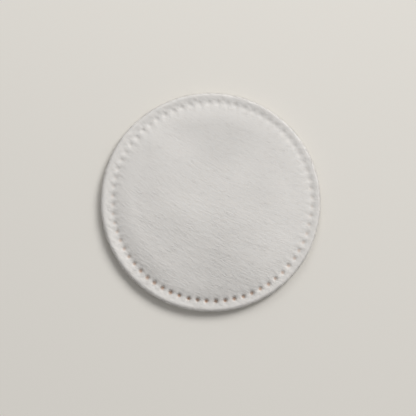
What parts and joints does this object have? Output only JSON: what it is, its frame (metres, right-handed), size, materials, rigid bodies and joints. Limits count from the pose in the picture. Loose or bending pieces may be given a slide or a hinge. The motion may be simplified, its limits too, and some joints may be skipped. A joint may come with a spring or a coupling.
{
  "type": "cotton pad",
  "caption": "Round flat pad of pressed white cotton with a softly crowned body, a groove of small round pressed pits near the edge and a full rounded rim.",
  "frame": {"origin": "on the surface that the pad lies on, under the middle of its round outline", "axes": "+Z up through the thickness, out of the face that the picture shows; +X to the right and +Y up across that face as the picture shows it"},
  "size_m": [0.057, 0.057, 0.0032],
  "materials": {
    "cotton": "matt pressed cotton with a faint combed grain and soft fibres"
  },
  "bodies": {
    "root": {"cotton_pad": "cotton"}
  },
  "joints": []
}
